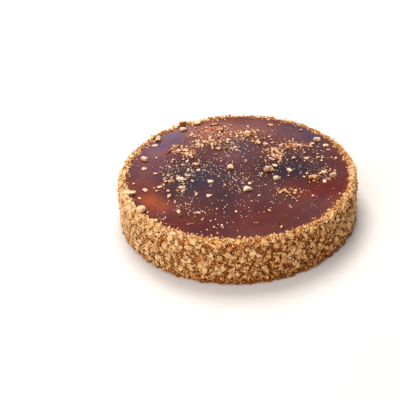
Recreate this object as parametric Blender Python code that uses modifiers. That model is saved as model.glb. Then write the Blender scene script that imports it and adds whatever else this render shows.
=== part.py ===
"""A round mocha biscuit cake: a body with a crumbed side, a mirror glaze and biscuit chunks. Metres, +Z up.

The origin is the middle of the flat underside. The front of the cake is at -Y.
"""

import math
import random

import bmesh
import bpy
from mathutils import Euler, Vector, noise

# Driving dimensions of the cake
WALL_RADIUS = 0.1268
FOOT_RADIUS = 0.1296
RIM_HEIGHT = 0.0508
GLAZE_RADIUS = 0.1212
GLAZE_THICKNESS = 0.0022
GLAZE_TOP = 0.0498
TOUCHING_GAP = 0.0004

TURN_STEPS = 120

# The crumbed side: its mesh, its crags and the crumbs fused to it
WALL_ROWS = 7
FOOT_HEIGHT = 0.0035
FOOT_PINCH_HEIGHT = 0.0070
CREST_RADII = (0.1236, 0.1256)
SHOULDER_DROP = 0.0022
CRAG_DEPTH = 0.0013
CRAG_SHIFT = 0.30
CREST_LIFT = 0.0009
LUMP_SIZE = 0.018
LUMP_DEPTH = 0.0007
SIDE_CRUMBS = 100
SIDE_CRUMB_LENGTH = (0.0055, 0.0100)
SIDE_CRUMB_SUNK = 0.0005
RIM_CRUMBS = 44
RIM_CRUMB_LENGTH = (0.0045, 0.0075)
RIM_CRUMB_RADII = (0.1238, 0.1262)
GOLDEN_ANGLE = math.pi * (3 - math.sqrt(5))

# The form of a crumb: how far its corners stand out, and its breadth and thickness, as shares of its length
CORNER_REACH = (0.74, 1.10)
SIDE_CRUMB_BREADTH = (0.50, 0.85)
SIDE_CRUMB_THICKNESS = (0.55, 0.70)
RIM_CRUMB_BREADTH = (0.60, 0.90)
RIM_CRUMB_THICKNESS = (0.50, 0.70)
FALLEN_CRUMB_BREADTH = (0.70, 1.00)
GLAZE_CRUMB_THICKNESS = (0.60, 0.80)
CRUMB_TILT = 0.5

# The glaze: its uneven edge and the crumbs fused to its top
GLAZE_EDGE_ROUND = 0.0008
EDGE_WAVES = ((3, 0.0005, 0.4), (7, 0.0004, 2.1), (11, 0.0003, 4.0))
FALLEN_CRUMBS = 48
FALLEN_CRUMB_LENGTH = (0.0028, 0.0044)
FALLEN_LIMIT_RADIUS = 0.1140
GLAZE_CRUMB_SUNK = 0.45
CRUMB_SPACING = 0.6

# Biscuit chunks as large as berries: x, y, width, depth, height in millimetres and turn in degrees
CHUNKS = (
    (34.0, -2.0, 13.0, 8.5, 6.5, 15),
    (10.5, -37.5, 12.0, 8.0, 4.2, 25),
    (80.5, -22.0, 12.5, 8.5, 5.5, -10),
    (102.0, -18.5, 10.5, 7.0, 6.0, 5),
    (93.0, 58.5, 9.8, 7.8, 5.5, -20),
    (42.0, -19.0, 8.6, 5.2, 3.6, -8),
    (-45.5, 13.0, 8.8, 5.8, 4.8, 12),
    (-7.5, 4.5, 8.4, 6.8, 5.2, 40),
    (-62.0, 93.0, 10.4, 6.0, 4.4, -5),
    (-90.5, 71.5, 8.6, 7.4, 6.2, 30),
    (-103.0, 27.5, 8.4, 6.2, 5.0, -25),
    (-59.0, -32.0, 8.6, 5.8, 4.8, 10),
    (-16.5, 87.5, 8.6, 8.0, 5.4, 0),
    (-25.0, 102.5, 12.0, 5.4, 4.0, 5),
)

# Large flakes that lie across the rim, fused to it: as above
RIM_FLAKES = (
    (-119.0, -35.5, 18.0, 5.0, 3.4, 3),
    (-100.0, -70.5, 9.0, 6.0, 3.2, 35),
    (-65.0, 108.5, 8.8, 6.6, 5.2, 10),
    (-46.5, 111.5, 12.0, 5.6, 3.6, 15),
)

# Crumbs of middle size on the glaze: x, y, width and depth in millimetres
MIDDLE_CRUMBS = (
    (41.5, 7.0, 7.0, 6.0),
    (-94.5, 60.0, 7.0, 5.0),
    (-102.0, 10.5, 5.8, 5.8),
    (-89.0, 0.5, 5.3, 3.8),
    (-21.0, 47.0, 7.1, 6.3),
    (56.5, -3.5, 5.3, 5.3),
    (79.0, -0.5, 4.7, 6.1),
    (76.5, 20.0, 6.8, 5.9),
    (102.0, 47.0, 6.7, 5.6),
    (94.0, -8.5, 6.4, 4.7),
    (92.0, -28.5, 5.6, 5.2),
    (-29.5, -20.5, 6.5, 5.2),
    (-62.5, -11.0, 7.5, 5.2),
    (-97.5, -32.0, 5.6, 7.0),
    (-72.0, -45.0, 5.3, 4.2),
    (-61.0, -73.5, 6.1, 4.4),
    (-30.0, -47.5, 6.3, 5.4),
    (-82.5, -26.5, 6.4, 4.1),
    (-41.0, -76.0, 5.1, 3.4),
    (12.5, -26.0, 4.6, 4.6),
    (41.0, 97.5, 7.3, 5.8),
    (14.0, 83.0, 7.6, 6.6),
    (25.5, 58.0, 7.6, 6.0),
    (-58.0, 47.5, 6.4, 5.4),
    (-66.0, 44.0, 5.4, 4.6),
    (-25.0, -101.0, 3.6, 3.4),
)

# Where the fallen crumbs lie thick: x, y, spread in millimetres and share of the crumbs
CRUMB_DRIFTS = (
    (-20, 88, 16, 0.14),
    (16, 76, 18, 0.14),
    (-56, 45, 16, 0.13),
    (62, 47, 16, 0.15),
    (36, 27, 12, 0.08),
    (-66, -12, 20, 0.14),
    (0, 15, 40, 0.12),
    (88, 8, 18, 0.10),
)

# Materials: colour, roughness
CRUMB_FINISH = ((0.66, 0.40, 0.18), 0.85)
GLAZE_FINISH = ((0.11, 0.035, 0.025), 0.12)
CHUNK_FINISH = ((0.72, 0.46, 0.21), 0.80)

MM = 0.001


def clear_scene():
    for thing in list(bpy.data.objects):
        bpy.data.objects.remove(thing)


def new_collection(name):
    collection = bpy.data.collections.new(name)
    bpy.context.scene.collection.children.link(collection)
    return collection


def food_material(name, finish):
    colour, roughness = finish
    material = bpy.data.materials.new(name)
    material.use_nodes = True
    shader = material.node_tree.nodes["Principled BSDF"]
    shader.inputs["Base Color"].default_value = (*colour, 1.0)
    shader.inputs["Roughness"].default_value = roughness
    shader.inputs["Metallic"].default_value = 0.0
    return material


def object_of(bm, name, collection, material):
    """The object that holds this bmesh, which is freed."""
    mesh = bpy.data.meshes.new(name)
    bm.to_mesh(mesh)
    bm.free()
    thing = bpy.data.objects.new(name, mesh)
    collection.objects.link(thing)
    thing.data.materials.append(material)
    return thing


def evaluated_mesh(thing):
    graph = bpy.context.evaluated_depsgraph_get()
    return bpy.data.meshes.new_from_object(thing.evaluated_get(graph))


def turned(name, profile, steps, collection, material):
    """A solid turned about Z from a profile of (radius, height) that starts and ends on the axis."""
    bm = bmesh.new()
    points = [bm.verts.new((radius, 0, height)) for radius, height in profile]
    for upper, lower in zip(points, points[1:]):
        bm.edges.new((upper, lower))
    thing = object_of(bm, name, collection, material)
    screw = thing.modifiers.new("turn", "SCREW")
    screw.steps = screw.render_steps = steps
    screw.use_merge_vertices = True
    screw.merge_threshold = 0.00001
    mesh = evaluated_mesh(thing)
    thing.modifiers.clear()
    thing.data = mesh
    return thing


def glaze_edge(angle):
    """The radius of the glaze's uneven edge, where the crumbs of the rim stop it."""
    waves = sum(depth * math.sin(count * angle + phase) for count, depth, phase in EDGE_WAVES)
    return GLAZE_RADIUS + waves


def crumb_form(size, subdivisions, draw):
    """An angular crumb round its own middle, of this width, depth and height."""
    bm = bmesh.new()
    bmesh.ops.create_icosphere(bm, subdivisions=subdivisions, radius=0.5)
    for vertex in bm.verts:
        reach = draw.uniform(*CORNER_REACH)
        vertex.co = Vector(side * length * reach for side, length in zip(vertex.co, size))
    return bm


def fuse(thing, crumbs):
    """Joins every crumb of a collection to the thing with one union, and removes the crumbs."""
    union = thing.modifiers.new("fuse crumbs", "BOOLEAN")
    union.operation = "UNION"
    union.operand_type = "COLLECTION"
    union.collection = crumbs
    union.solver = "MANIFOLD"
    mesh = evaluated_mesh(thing)
    thing.modifiers.clear()
    thing.data = mesh
    for crumb in list(crumbs.objects):
        bpy.data.objects.remove(crumb)
    bpy.data.collections.remove(crumbs)


def body_profile():
    """From the middle of the glaze's bed, over the rim and down the side, to the middle of the underside."""
    bed_height = GLAZE_TOP - GLAZE_THICKNESS - TOUCHING_GAP
    bed_radius = GLAZE_RADIUS + TOUCHING_GAP
    shoulder_height = RIM_HEIGHT - SHOULDER_DROP
    row_drop = (shoulder_height - FOOT_PINCH_HEIGHT) / WALL_ROWS
    inner_rim = [(bed_radius, bed_height), (bed_radius, GLAZE_TOP)]
    crest = [(radius, RIM_HEIGHT) for radius in CREST_RADII]
    wall = [(WALL_RADIUS, shoulder_height - row * row_drop) for row in range(WALL_ROWS + 1)]
    foot = [(FOOT_RADIUS, FOOT_HEIGHT), (FOOT_RADIUS, 0)]
    return [(0, bed_height), *inner_rim, *crest, *wall, *foot, (0, 0)]


def roughen_side(body):
    """Moves the points of the rim, wall and foot, so that the side is craggy. Bed and underside stay flat."""
    draw = random.Random(11)
    step = 2 * math.pi / TURN_STEPS
    row_height = (RIM_HEIGHT - FOOT_PINCH_HEIGHT) / WALL_ROWS
    for vertex in body.data.vertices:
        radius = math.hypot(vertex.co.x, vertex.co.y)
        angle = math.atan2(vertex.co.y, vertex.co.x)
        height = vertex.co.z
        if radius < 0.001:
            continue
        if radius < CREST_RADII[0] - 0.001:
            radius += glaze_edge(angle) - GLAZE_RADIUS
        elif height < FOOT_HEIGHT / 2:
            radius += draw.uniform(-CRAG_DEPTH, 0)
        elif height > RIM_HEIGHT - SHOULDER_DROP / 2:
            angle += step * draw.uniform(-CRAG_SHIFT, CRAG_SHIFT)
            radius += draw.uniform(-CRAG_DEPTH, CRAG_DEPTH) / 2
            height += draw.uniform(0, 2 * CREST_LIFT)
        else:
            lump = noise.noise(vertex.co / LUMP_SIZE)
            angle += step * draw.uniform(-CRAG_SHIFT, CRAG_SHIFT)
            radius += draw.uniform(-CRAG_DEPTH, CRAG_DEPTH) + lump * LUMP_DEPTH
            height += row_height * draw.uniform(-CRAG_SHIFT, CRAG_SHIFT) / 2
        vertex.co = (radius * math.cos(angle), radius * math.sin(angle), height)


def side_crumb(index, crumbs, material, draw):
    """A flat crumb pressed into the wall. The golden angle spreads the crumbs evenly."""
    length = draw.uniform(*SIDE_CRUMB_LENGTH)
    size = (length * draw.uniform(*SIDE_CRUMB_THICKNESS), length, length * draw.uniform(*SIDE_CRUMB_BREADTH))
    angle = index * GOLDEN_ANGLE
    radius = WALL_RADIUS - SIDE_CRUMB_SUNK
    lowest, highest = FOOT_HEIGHT + length / 2, RIM_HEIGHT - SHOULDER_DROP
    height = lowest + (highest - lowest) * (index + 0.5) / SIDE_CRUMBS
    bm = crumb_form(size, 1, draw)
    tilts = (draw.uniform(-CRUMB_TILT, CRUMB_TILT) for side in range(2))
    bmesh.ops.rotate(bm, verts=bm.verts, matrix=Euler((draw.uniform(-math.pi, math.pi), *tilts)).to_matrix())
    bmesh.ops.rotate(bm, verts=bm.verts, matrix=Euler((0, 0, angle)).to_matrix())
    centre = Vector((radius * math.cos(angle), radius * math.sin(angle), height))
    bmesh.ops.translate(bm, verts=bm.verts, vec=centre)
    object_of(bm, f"side_crumb_{index:03d}", crumbs, material)


def rim_crumb(index, crumbs, material, draw):
    """A crumb that lies on the rim's crest and may reach in over the glaze's edge, clear of the glaze."""
    length = draw.uniform(*RIM_CRUMB_LENGTH)
    size = (length * draw.uniform(*RIM_CRUMB_BREADTH), length, length * draw.uniform(*RIM_CRUMB_THICKNESS))
    angle = 2 * math.pi * (index + draw.uniform(-CRAG_SHIFT, CRAG_SHIFT)) / RIM_CRUMBS
    radius = draw.uniform(*RIM_CRUMB_RADII)
    bm = crumb_form(size, 1, draw)
    tilts = (draw.uniform(-CRUMB_TILT, CRUMB_TILT) for side in range(2))
    bmesh.ops.rotate(bm, verts=bm.verts, matrix=Euler((*tilts, draw.uniform(-math.pi, math.pi))).to_matrix())
    centre = Vector((radius * math.cos(angle), radius * math.sin(angle), RIM_HEIGHT + CREST_LIFT / 2))
    bmesh.ops.translate(bm, verts=bm.verts, vec=centre)
    flatten_underside(bm, GLAZE_TOP + TOUCHING_GAP)
    object_of(bm, f"rim_crumb_{index:03d}", crumbs, material)


def rim_flake(index, place, crumbs, material, draw):
    x, y, width, depth, height, turn = place
    bm = crumb_form((width * MM, depth * MM, height * MM), 2, draw)
    bmesh.ops.rotate(bm, verts=bm.verts, matrix=Euler((0, 0, math.radians(turn))).to_matrix())
    bmesh.ops.translate(bm, verts=bm.verts, vec=(x * MM, y * MM, RIM_HEIGHT + height * MM / 4))
    flatten_underside(bm, GLAZE_TOP + TOUCHING_GAP)
    object_of(bm, f"rim_flake_{index:03d}", crumbs, material)


def flatten_underside(bm, height):
    """Cuts the form off flat at this height."""
    below = bmesh.ops.bisect_plane(
        bm,
        geom=[*bm.verts, *bm.edges, *bm.faces],
        plane_co=(0, 0, height),
        plane_no=(0, 0, -1),
        clear_outer=True,
    )
    rim = [part for part in below["geom_cut"] if isinstance(part, bmesh.types.BMEdge)]
    if rim:
        bmesh.ops.contextual_create(bm, geom=rim)
        bmesh.ops.recalc_face_normals(bm, faces=bm.faces)


def build_crumbed_cake(collection):
    material = food_material("crumb coat", CRUMB_FINISH)
    body = turned("crumbed_cake", body_profile(), TURN_STEPS, collection, material)
    roughen_side(body)
    crumbs = new_collection("crumbs of the side")
    draw = random.Random(23)
    for index in range(SIDE_CRUMBS):
        side_crumb(index, crumbs, material, draw)
    for index in range(RIM_CRUMBS):
        rim_crumb(index, crumbs, material, draw)
    for index, place in enumerate(RIM_FLAKES):
        rim_flake(index, place, crumbs, material, draw)
    fuse(body, crumbs)


def glaze_profile():
    bottom = GLAZE_TOP - GLAZE_THICKNESS
    inner = GLAZE_RADIUS - GLAZE_EDGE_ROUND
    return [
        (0, GLAZE_TOP),
        (inner - GLAZE_EDGE_ROUND, GLAZE_TOP),
        (inner + GLAZE_EDGE_ROUND / 2, GLAZE_TOP - GLAZE_EDGE_ROUND / 3),
        (GLAZE_RADIUS, GLAZE_TOP - GLAZE_EDGE_ROUND),
        (GLAZE_RADIUS, bottom),
        (0, bottom),
    ]


def fallen_crumb_places(draw):
    """Places and sizes of the small crumbs: most in drifts, none on a chunk or a crumb of middle size."""
    taken = [(x * MM, y * MM, max(width, depth) * MM) for x, y, width, depth, *rest in CHUNKS + MIDDLE_CRUMBS]
    weights = [share for *place, share in CRUMB_DRIFTS]
    found = []
    while len(found) < FALLEN_CRUMBS:
        middle_x, middle_y, spread, share = draw.choices(CRUMB_DRIFTS, weights)[0]
        x = draw.gauss(middle_x, spread) * MM
        y = draw.gauss(middle_y, spread) * MM
        length = draw.uniform(*FALLEN_CRUMB_LENGTH)
        clear = all(math.hypot(x - u, y - v) > (length + other) * CRUMB_SPACING for u, v, other in taken)
        if clear and math.hypot(x, y) < FALLEN_LIMIT_RADIUS:
            found.append((x, y, length, length * draw.uniform(*FALLEN_CRUMB_BREADTH)))
            taken.append((x, y, length))
    return found


def glaze_crumb(index, place, crumbs, material, draw):
    x, y, width, depth = place
    height = min(width, depth) * draw.uniform(*GLAZE_CRUMB_THICKNESS)
    bm = crumb_form((width, depth, height), 1, draw)
    turn = Euler((0, 0, draw.uniform(-CRUMB_TILT, CRUMB_TILT)))
    bmesh.ops.rotate(bm, verts=bm.verts, matrix=turn.to_matrix())
    bmesh.ops.translate(bm, verts=bm.verts, vec=(x, y, GLAZE_TOP + height * (0.5 - GLAZE_CRUMB_SUNK)))
    object_of(bm, f"glaze_crumb_{index:03d}", crumbs, material)


def build_glaze(collection):
    material = food_material("mirror glaze", GLAZE_FINISH)
    glaze = turned("mocha_glaze", glaze_profile(), TURN_STEPS, collection, material)
    for vertex in glaze.data.vertices:
        radius = math.hypot(vertex.co.x, vertex.co.y)
        if radius > GLAZE_RADIUS / 2:
            angle = math.atan2(vertex.co.y, vertex.co.x)
            vertex.co.xy = vertex.co.xy * (glaze_edge(angle) / GLAZE_RADIUS)
    crumbs = new_collection("crumbs of the glaze")
    draw = random.Random(37)
    middle = [tuple(length * MM for length in place) for place in MIDDLE_CRUMBS]
    for index, place in enumerate(middle + fallen_crumb_places(draw)):
        glaze_crumb(index, place, crumbs, material, draw)
    fuse(glaze, crumbs)


def build_chunks(collection):
    material = food_material("biscuit chunk", CHUNK_FINISH)
    draw = random.Random(53)
    for number, (x, y, width, depth, height, turn) in enumerate(CHUNKS, start=1):
        bm = crumb_form((width * MM, depth * MM, 2 * height * MM), 2, draw)
        flatten_underside(bm, 0)
        chunk = object_of(bm, f"biscuit_chunk_{number:02d}", collection, material)
        chunk.location = (x * MM, y * MM, GLAZE_TOP + TOUCHING_GAP)
        chunk.rotation_euler.z = math.radians(turn)


clear_scene()
cake = new_collection("mocha biscuit cake")
build_crumbed_cake(cake)
build_glaze(cake)
build_chunks(cake)
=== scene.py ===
"""Looks of a whole round mocha biscuit cake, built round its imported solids. Metres, +Z up, front at -Y."""

import math
import random

import bmesh
import bpy
import numpy as np
from mathutils import Matrix, Quaternion, Vector, noise


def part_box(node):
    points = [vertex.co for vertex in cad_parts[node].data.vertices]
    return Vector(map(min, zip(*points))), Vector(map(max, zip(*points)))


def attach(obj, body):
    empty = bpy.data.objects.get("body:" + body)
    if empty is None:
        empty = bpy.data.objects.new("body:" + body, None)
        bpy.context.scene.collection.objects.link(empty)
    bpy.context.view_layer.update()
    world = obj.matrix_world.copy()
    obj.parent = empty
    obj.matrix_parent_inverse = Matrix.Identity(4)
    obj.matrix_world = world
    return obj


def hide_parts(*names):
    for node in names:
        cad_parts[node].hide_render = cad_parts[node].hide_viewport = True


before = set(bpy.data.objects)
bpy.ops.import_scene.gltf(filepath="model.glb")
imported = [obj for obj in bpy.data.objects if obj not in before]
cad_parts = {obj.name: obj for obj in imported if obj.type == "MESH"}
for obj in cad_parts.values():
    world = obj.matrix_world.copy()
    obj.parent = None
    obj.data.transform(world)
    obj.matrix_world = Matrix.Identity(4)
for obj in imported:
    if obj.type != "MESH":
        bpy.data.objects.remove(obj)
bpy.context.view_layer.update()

# The cake under its coat
# Layers of sponge, biscuit and mocha cream, set in a ring and masked all over with a thin coat of cream.
# Only its craggy, crumb-filled skin shows, as the dark between the crumbs, and its flat baked underside.
# The skin's darkness between the crumbs is partly painted shade.

MM = 0.001
ROUND_POINTS = 360
glaze_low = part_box("mocha_glaze")[0]
GLAZE_THICKNESS = 2.2 * MM
GLAZE_TOP = glaze_low.z + GLAZE_THICKNESS
GLAZE_RADIUS = 121.2 * MM
SKIN_RADIUS = 127.0 * MM
SKIN_TOP = GLAZE_TOP + 0.1 * MM
SHOULDER_ROUND = 4.4 * MM
SIDE_CUTS = 24
FOOT_FLARE = 1.5 * MM
FOOT_HEIGHT = 7.0 * MM
LEFT_THICKER = 0.8 * MM
BED_DEPTH = 0.6 * MM
BED_SLOPE = 0.6 * MM
# The skin's crags, coarse and fine: size and depth
CRAGS = ((4.0 * MM, 1.5 * MM), (1.4 * MM, 0.8 * MM))


def nothing_selected():
    if bpy.context.object and bpy.context.object.mode != "OBJECT":
        bpy.ops.object.mode_set(mode="OBJECT")
    bpy.ops.object.select_all(action="DESELECT")


def take_up(piece):
    """Selects this piece alone and makes it the active one."""
    nothing_selected()
    piece.select_set(True)
    bpy.context.view_layer.objects.active = piece


def select_by_place(piece, wanted, kind="FACE"):
    """In edit mode, selects only the faces or edges whose middle passes the test."""
    bpy.ops.mesh.select_mode(type=kind)
    bpy.ops.mesh.select_all(action="DESELECT")
    bm = bmesh.from_edit_mesh(piece.data)
    if kind == "FACE":
        for face in bm.faces:
            face.select_set(wanted(face.calc_center_median(), face.normal))
    else:
        for edge in bm.edges:
            start, end = (point.co for point in edge.verts)
            edge.select_set(wanted((start + end) / 2, (end - start).normalized()))
    bm.select_flush_mode()
    bmesh.update_edit_mesh(piece.data)


def reach(point):
    """How far a point lies from the upright line through the middle of the cake."""
    return math.hypot(point.x, point.y)


def apply_modifiers(piece):
    take_up(piece)
    for modifier in list(piece.modifiers):
        bpy.ops.object.modifier_apply(modifier=modifier.name)


def settle(piece):
    """Puts the piece's place into its mesh, so that its object sits at the origin."""
    take_up(piece)
    bpy.ops.object.transform_apply(location=True, rotation=True, scale=True)


def crumble(piece, *grits):
    """Pushes the surface in and out by clouds of these sizes and depths."""
    for size, depth, *points in grits:
        cloud = bpy.data.textures.new("grit", "CLOUDS")
        cloud.noise_scale = size
        cloud.noise_depth = 2
        push = piece.modifiers.new("grit", "DISPLACE")
        push.texture = cloud
        push.texture_coords = "GLOBAL"
        push.strength = depth
        push.mid_level = 0.55
        if points:
            push.vertex_group = points[0]
    apply_modifiers(piece)


def node_in(material, kind, **inputs):
    """A node of this kind, with the named inputs set to values or linked to sockets."""
    node = material.node_tree.nodes.new(kind)
    for name, value in inputs.items():
        socket = node.inputs[name.replace("_", " ")]
        if isinstance(value, bpy.types.NodeSocket):
            material.node_tree.links.new(value, socket)
        else:
            socket.default_value = value
    return node


def link(material, output, target):
    material.node_tree.links.new(output, target)


def new_finish(name, roughness, specular=0.5):
    """A new material, and its Principled shader."""
    material = bpy.data.materials.new(name)
    material.use_nodes = True
    shader = material.node_tree.nodes["Principled BSDF"]
    shader.inputs["Roughness"].default_value = roughness
    shader.inputs["Specular IOR Level"].default_value = specular
    return material, shader


def colour_steps(material, factor, *steps):
    """A ramp of (place, linear colour) steps, read by a factor."""
    ramp = node_in(material, "ShaderNodeValToRGB", Fac=factor)
    places = ramp.color_ramp.elements
    while len(places) < len(steps):
        places.new(1.0)
    for element, (place, colour) in zip(places, steps):
        element.position = place
        element.color = (*colour, 1.0)
    return ramp.outputs["Color"]


def combined(material, operation, first, second):
    """The socket of a Math node that combines two sockets."""
    node = node_in(material, "ShaderNodeMath")
    node.operation = operation
    link(material, first, node.inputs[0])
    link(material, second, node.inputs[1])
    return node.outputs[0]


def roughen(material, shader, height, strength, depth, sunk=False):
    """Shades the surface as raised by this height socket, or as sunk by it."""
    bump = node_in(material, "ShaderNodeBump", Height=height, Strength=strength, Distance=depth)
    bump.invert = sunk
    link(material, bump.outputs["Normal"], shader.inputs["Normal"])


def srgb(*channels):
    """A colour as a screen shows it, made linear."""
    shares = (channel / 255 for channel in channels)
    return tuple(((share + 0.055) / 1.055) ** 2.4 if share > 0.04045 else share / 12.92 for share in shares)


# The skin's colours: the mocha cream's own brown, darkened as painted shade in the crevices between the
# crumbs
SHADED_CREVICE_GOLD = srgb(192, 124, 58)
SHADED_CREVICE_TAN = srgb(164, 92, 34)
SHADED_CREVICE_DARK = srgb(120, 58, 16)
BASE_BROWN = srgb(150, 92, 48)
BASE_TAN = srgb(188, 128, 74)
BASE_PALE = srgb(214, 160, 102)


def crumb_skin():
    """Cream full of fine crumbs: dark with painted shade where it sinks in, tan where a grain lies near the
    surface.
    """
    material, shader = new_finish("crumb_skin", 0.9, 0.2)
    place = node_in(material, "ShaderNodeTexCoord").outputs["Object"]
    grains = node_in(material, "ShaderNodeTexVoronoi", Vector=place, Scale=650.0)
    clouds = node_in(material, "ShaderNodeTexNoise", Vector=place, Scale=160.0, Detail=4.0)
    mixed = combined(material, "MULTIPLY", grains.outputs["Distance"], clouds.outputs["Fac"])
    colour = colour_steps(material, mixed, (0.05, SHADED_CREVICE_GOLD), (0.22, SHADED_CREVICE_TAN), (0.45, SHADED_CREVICE_DARK))
    link(material, colour, shader.inputs["Base Color"])
    roughen(material, shader, mixed, 0.6, 0.6 * MM, sunk=True)
    return material


def baked_base():
    """The underside: a sheet of baked sponge, browned unevenly and full of fine pores."""
    material, shader = new_finish("baked_base", 0.85, 0.2)
    place = node_in(material, "ShaderNodeTexCoord").outputs["Object"]
    noisy = node_in(material, "ShaderNodeTexNoise", Vector=place, Scale=28.0, Detail=8.0, Roughness=0.65)
    browning = noisy.outputs["Fac"]
    colour = colour_steps(material, browning, (0.3, BASE_BROWN), (0.5, BASE_TAN), (0.7, BASE_PALE))
    link(material, colour, shader.inputs["Base Color"])
    pores = node_in(material, "ShaderNodeTexVoronoi", Vector=place, Scale=420.0)
    roughen(material, shader, pores.outputs["Distance"], 0.5, 0.4 * MM)
    return material


nothing_selected()
bpy.ops.mesh.primitive_cylinder_add(
    vertices=ROUND_POINTS, radius=SKIN_RADIUS, depth=SKIN_TOP, location=(0, 0, SKIN_TOP / 2),
    end_fill_type="NGON",
)
cake = bpy.context.object
cake.name = "cake_under_its_coat"
settle(cake)
bpy.ops.object.mode_set(mode="EDIT")
select_by_place(cake, lambda middle, along: abs(along.z) < 0.1 and middle.z > SKIN_TOP - 0.1 * MM, "EDGE")
bpy.ops.mesh.bevel(offset=SHOULDER_ROUND, segments=7, affect="EDGES")
select_by_place(cake, lambda middle, normal: normal.z > 0.999 and reach(middle) < 1 * MM)
bpy.ops.mesh.inset(thickness=SKIN_RADIUS - SHOULDER_ROUND - GLAZE_RADIUS - BED_SLOPE)
bpy.ops.mesh.inset(thickness=BED_SLOPE)
bpy.ops.transform.translate(value=(0, 0, -BED_DEPTH - GLAZE_THICKNESS))
select_by_place(
    cake, lambda middle, along: abs(along.z) > 0.99 and reach(middle) > SKIN_RADIUS - 0.5 * MM, "EDGE"
)
bpy.ops.mesh.subdivide(number_cuts=SIDE_CUTS)
bpy.ops.object.mode_set(mode="OBJECT")
skin_points = cake.vertex_groups.new(name="skin")
for point in cake.data.vertices:
    if reach(point.co) < GLAZE_RADIUS + 0.5 * MM:
        continue
    low_down = max(0.0, 1 - point.co.z / FOOT_HEIGHT)
    leftward = max(0.0, -point.co.x / SKIN_RADIUS) if reach(point.co) > SKIN_RADIUS - 2 * MM else 0.0
    swell = 1 + (FOOT_FLARE * low_down + LEFT_THICKER * leftward) / SKIN_RADIUS
    point.co.x *= swell
    point.co.y *= swell
    if point.co.z > 0.1 * MM:
        skin_points.add([point.index], 1.0, "REPLACE")
crumble(cake, *((size, depth, "skin") for size, depth in CRAGS))
cake.data.materials.append(crumb_skin())
cake.data.materials.append(baked_base())
for face in cake.data.polygons:
    face.material_index = 1 if face.normal.z < -0.9 and face.center.z < 0.1 * MM else 0
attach(cake, "root")
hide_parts("crumbed_cake")

# The coat of crumbs
# Crushed butter biscuit and toasted wafer, from fine grains to flakes of 7 mm. The side is pressed full of
# them by hand while the cream is soft, so that they cling in clumps, pale outside and darker in between,
# where the darkening is painted shade.

CRUMB_CREAM = srgb(227, 190, 150)
CRUMB_PALE = srgb(226, 183, 130)
CRUMB_GOLD = srgb(216, 167, 110)
CRUMB_TAN = srgb(206, 150, 89)
CRUMB_ORANGE = srgb(190, 120, 54)
CRUMB_TOASTED = srgb(140, 70, 20)
GRAIN_SCALE = 620.0
PORE_SCALE = 868.0
MOTTLING = 0.44
# The rounded section of the coat, from over the glaze's edge to the floor: radius and height in millimetres
COAT_LINE = (
    (120.4, 50.2), (121.9, 50.2), (122.8, 50.4), (123.8, 50.6), (125.2, 50.2), (126.7, 49.0), (127.7, 47.2),
    (128.2, 44.8), (128.5, 20.0), (128.8, 8.0), (129.5, 3.0), (129.7, 1.2),
)
line_radius, line_height = np.array(COAT_LINE).T * MM
line_along = np.concatenate(([0.0], np.cumsum(np.hypot(np.diff(line_radius), np.diff(line_height)))))
# How far along it these lie: the glaze's edge, the inside and outside of the rim's crest, the top, middle and
# end of the shoulder, and the floor
GLAZE_AT, CREST_START, CREST_END, SHOULDER_TOP, SHOULDER_MIDDLE, SHOULDER_END, FLOOR_AT = (
    line_along[[0, 2, 4, 5, 6, 7, 11]]
)
FOOT_AT = FLOOR_AT - 10 * MM
SLOPE_SPAN = 0.4 * MM
FLOOR_CLEAR = 0.3 * MM
GOLDEN_ANGLE = math.pi * (3 - math.sqrt(5))
COAT_SHADED = 0.16
CLUMP_SIZE = 7.0 * MM
CLUMP_RELIEF = 1.4 * MM
# Painted shade: the coat is darker where its clumps sink in, by the same cloud that lifts them
CLUMP_SHADE = 0.15
# Painted shadow darkens the crumbs at the front, a little to the right
SHADOW_WAY = Vector((0.35, -0.94, 0))
FRONT_SHADOW = 0.3
# Painted shade darkens the crumbs packed against the floor, up to this height
FOOT_SHADE_HEIGHT = 7.5 * MM
FOOT_SHADE = 0.5


def biscuit(name, *steps):
    """Dry biscuit: each crumb has its own bake and painted shade, from its tint, mottled by its fine grain.
    """
    material, shader = new_finish(name, 0.85, 0.2)
    place = node_in(material, "ShaderNodeTexCoord").outputs["Object"]
    tint = node_in(material, "ShaderNodeAttribute")
    tint.attribute_name = "bake"
    grain = node_in(
        material, "ShaderNodeTexNoise", Vector=place, Scale=GRAIN_SCALE, Detail=3.0, Roughness=0.7
    )
    spread = node_in(
        material, "ShaderNodeMapRange", Value=grain.outputs["Fac"], From_Min=0.25, From_Max=0.75,
        To_Min=-MOTTLING, To_Max=MOTTLING,
    )
    bake = combined(material, "ADD", tint.outputs["Fac"], spread.outputs["Result"])
    link(material, colour_steps(material, bake, *steps), shader.inputs["Base Color"])
    pores = node_in(material, "ShaderNodeTexVoronoi", Vector=place, Scale=PORE_SCALE)
    roughen(material, shader, pores.outputs["Distance"], 0.8, 0.5 * MM)
    return material


def break_off(spot, facing):
    """In edit mode, breaks the piece off flat past this spot and closes the break."""
    bpy.ops.mesh.select_all(action="SELECT")
    bpy.ops.mesh.bisect(plane_co=spot, plane_no=facing, use_fill=True, clear_outer=True)


# How much the moulds differ in breadth and thickness, and how far out to their corners they are broken off
BREADTHS = (0.8, 1.2)
THICKNESSES = (0.75, 1.25)
MOULD_BREAKS = (0.58, 0.86)


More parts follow.
